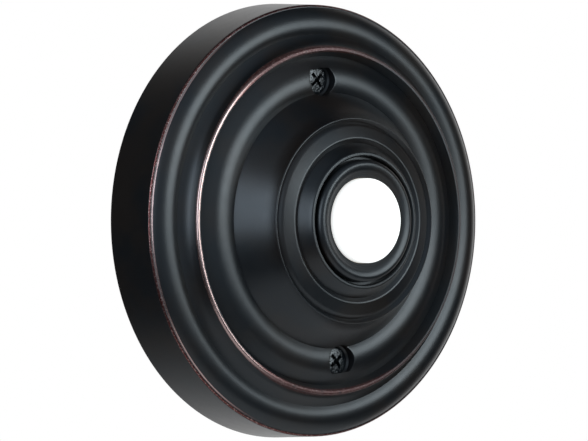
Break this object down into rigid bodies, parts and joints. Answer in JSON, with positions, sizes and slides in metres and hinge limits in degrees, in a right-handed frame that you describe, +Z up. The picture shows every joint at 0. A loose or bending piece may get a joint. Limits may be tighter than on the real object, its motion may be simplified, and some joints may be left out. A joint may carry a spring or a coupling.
{
  "type": "doorbell push button",
  "caption": "Round moulded wall rosette with a lit white push button in its centre, a return spring, a contact bridge and screw terminals behind it.",
  "frame": {"origin": "where the axis of the rosette meets the wall plane, midway between the two mounting screws", "axes": "+Y into the wall along the button's axis, -Y towards the person who presses it, +Z up through the top mounting screw, +X to that person's right"},
  "size_m": [0.0635, 0.0357, 0.0634],
  "materials": {
    "bronze_finish": "satin dark bronze coating, copper showing where the front edges are rubbed",
    "screw_black": "steel screw, smooth black coating",
    "button_white": "white light-diffusing plastic, lit from inside",
    "plated_steel": "zinc plated steel",
    "spring_steel": "bright spring wire",
    "contact_brass": "stamped and turned brass",
    "base_plastic": "black moulded plastic",
    "board_laminate": "green circuit board laminate",
    "lamp_clear": "clear cast lamp body",
    "resistor_body": "lacquered resistor body",
    "tinned_wire": "tinned copper wire"
  },
  "bodies": {
    "rosette": {"escutcheon": "bronze_finish", "button_barrel": "bronze_finish", "mounting_screw_top": "screw_black", "mounting_screw_bottom": "screw_black", "bezel_nut": "plated_steel", "lock_washer": "plated_steel", "base_snap_ring": "spring_steel", "return_spring": "spring_steel", "switch_base": "base_plastic", "contact_left": "contact_brass", "contact_right": "contact_brass", "terminal_plate_left": "contact_brass", "terminal_plate_right": "contact_brass", "terminal_washer_left": "plated_steel", "terminal_washer_right": "plated_steel", "terminal_screw_left": "plated_steel", "terminal_screw_right": "plated_steel", "lamp_board": "board_laminate", "led_lamp": "lamp_clear", "resistor": "resistor_body", "lamp_pin_left": "tinned_wire", "lamp_pin_right": "tinned_wire"},
    "button": {"push_button": "button_white", "contact_bridge": "contact_brass"}
  },
  "joints": [
    {"name": "button_press", "type": "slide", "parent": "rosette", "child": "button", "axis": [0, 1, 0], "range_m": [0, 0.0015], "stiffness_N_per_m": 800, "springref_m": -0.003, "deforming": ["return_spring"]}
  ]
}
